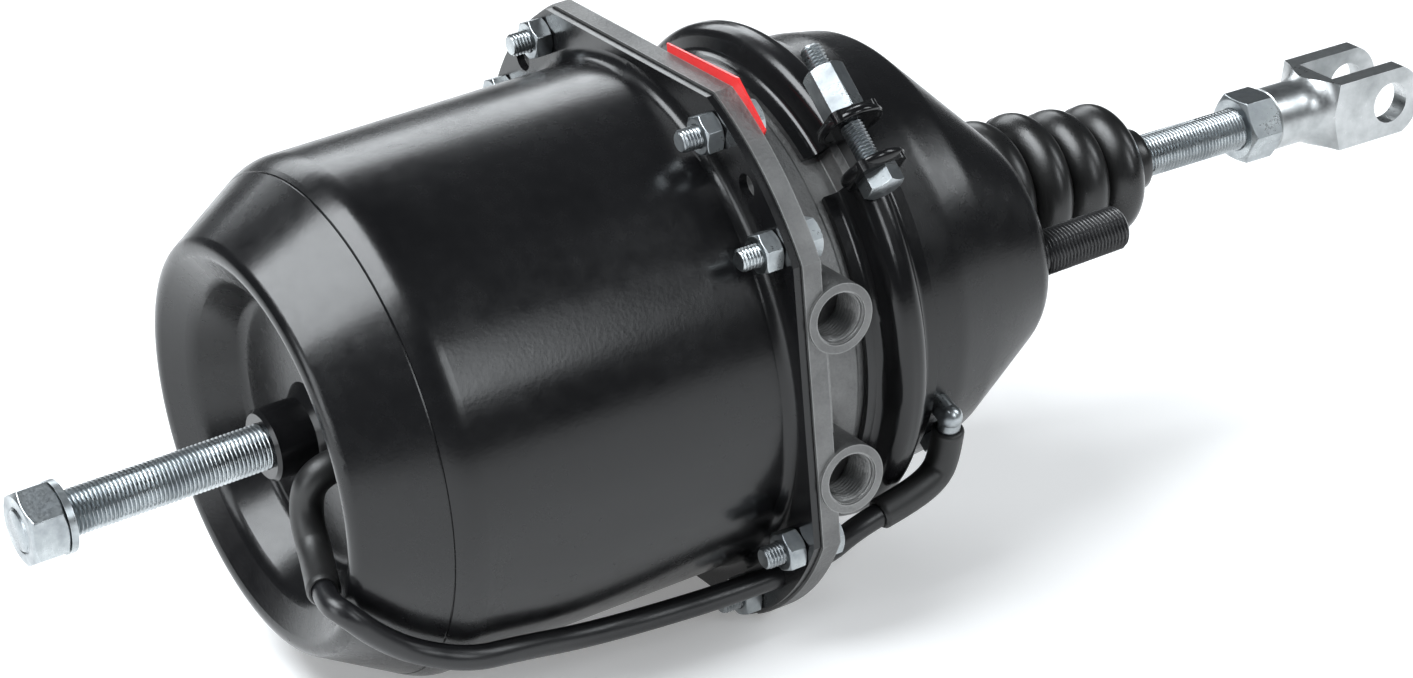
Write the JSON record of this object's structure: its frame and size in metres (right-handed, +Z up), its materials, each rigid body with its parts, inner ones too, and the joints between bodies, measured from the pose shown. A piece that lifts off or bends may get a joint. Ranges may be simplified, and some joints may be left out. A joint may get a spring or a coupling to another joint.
{
  "type": "air brake chamber",
  "caption": "Combined spring and service air brake chamber: pressed pot with caged spring, cast body with ports, clamp band, oval-faced housing, boot, push rod and clevis.",
  "frame": {"origin": "centre of the mounting face, midway between the two studs", "axes": "+X along the push rod and out of the housing, +Z up, -Y the way the two ports face"},
  "size_m": [0.5764, 0.199, 0.2035],
  "materials": {
    "black_paint": "gloss",
    "zinc": "satin",
    "cast_aluminium": "matte",
    "black_rubber": "matte",
    "hose_plastic": "satin",
    "red_plastic": "gloss",
    "pin_brass": "satin",
    "spring_steel": "satin",
    "piston_aluminium": "satin",
    "bush_plastic": "matte",
    "black_studs": "satin"
  },
  "bodies": {
    "chamber": {"spring_housing": "black_paint", "release_boss": "black_paint", "rear_nipple": "zinc", "power_spring": "spring_steel", "centre_body": "cast_aluminium", "housing_seal": "black_rubber", "hub_bush": "bush_plastic", "rear_hub_seal": "black_rubber", "front_hub_seal": "black_rubber", "flange_bolts": "zinc", "flange_nuts": "zinc", "marker_plate": "red_plastic", "clamp_half_upper": "black_paint", "clamp_half_lower": "black_paint", "clamp_bolts": "zinc", "clamp_nuts": "zinc", "diaphragm": "black_rubber", "service_housing": "black_paint", "mounting_studs": "black_studs", "front_nipple": "zinc", "drain_plug": "zinc", "return_spring": "spring_steel", "boot": "black_rubber", "boot_retainer": "zinc", "breather_tube": "hose_plastic", "rear_elbow": "black_rubber", "front_elbow": "black_rubber"},
    "release_screw": {"release_bolt": "zinc", "release_nut": "zinc", "release_pin": "pin_brass", "release_washer": "zinc"},
    "release_carrier": {"release_follower": "zinc"},
    "piston": {"spring_piston": "piston_aluminium", "piston_seal": "black_rubber", "piston_guide_ring": "bush_plastic", "piston_tube": "zinc", "thrust_piece": "zinc"},
    "plate": {"push_plate": "zinc"},
    "rod": {"push_rod": "zinc", "lock_nut": "zinc", "clevis": "zinc"}
  },
  "joints": [
    {"name": "release_travel", "type": "slide", "parent": "chamber", "child": "release_carrier", "axis": [1, 0, 0], "range_m": [0, 0.057]},
    {"name": "release_turn", "type": "hinge", "parent": "release_carrier", "child": "release_screw", "pos_m": [-0.3556, 0, 0], "axis": [1, 0, 0], "range_deg": [0, 13700]},
    {"name": "piston_travel", "type": "slide", "parent": "chamber", "child": "piston", "axis": [1, 0, 0], "range_m": [0, 0.0571], "deforming": ["power_spring"]},
    {"name": "plate_travel", "type": "slide", "parent": "chamber", "child": "plate", "axis": [1, 0, 0], "range_m": [0, 0.0571], "deforming": ["return_spring", "boot", "diaphragm"]},
    {"name": "rod_tilt", "type": "hinge", "parent": "plate", "child": "rod", "pos_m": [-0.066, 0, 0], "axis": [0, -1, 0], "range_deg": [0, 4.6]}
  ],
  "couplings": [
    {"joint": "release_turn", "follows": "release_travel", "rad_per_m": 4188.8},
    {"joint": "piston_travel", "follows": "release_travel", "ratio": 1},
    {"joint": "plate_travel", "follows": "release_travel", "ratio": 1}
  ]
}
